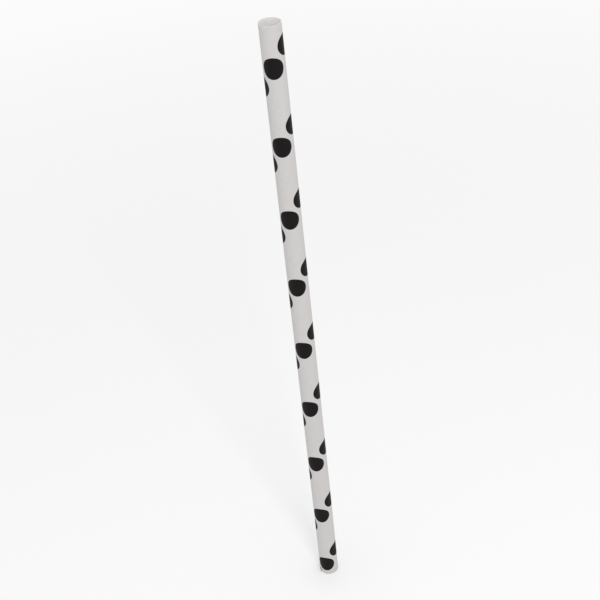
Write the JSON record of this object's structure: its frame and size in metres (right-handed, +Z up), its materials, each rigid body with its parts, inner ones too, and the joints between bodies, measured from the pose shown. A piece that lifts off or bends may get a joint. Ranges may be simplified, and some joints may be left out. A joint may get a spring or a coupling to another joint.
{
  "type": "paper drinking straw",
  "caption": "Straight paper drinking straw, a spiral-wound tube with square-cut ends, white with one row of black dots winding round it.",
  "frame": {"origin": "on the surface that the straw stands on, under the middle of its foot", "axes": "+Z up along the straw towards the end that is drunk from"},
  "size_m": [0.006, 0.006, 0.197],
  "materials": {
    "paper": "matte"
  },
  "bodies": {
    "root": {"straw_tube": "paper"}
  },
  "joints": []
}
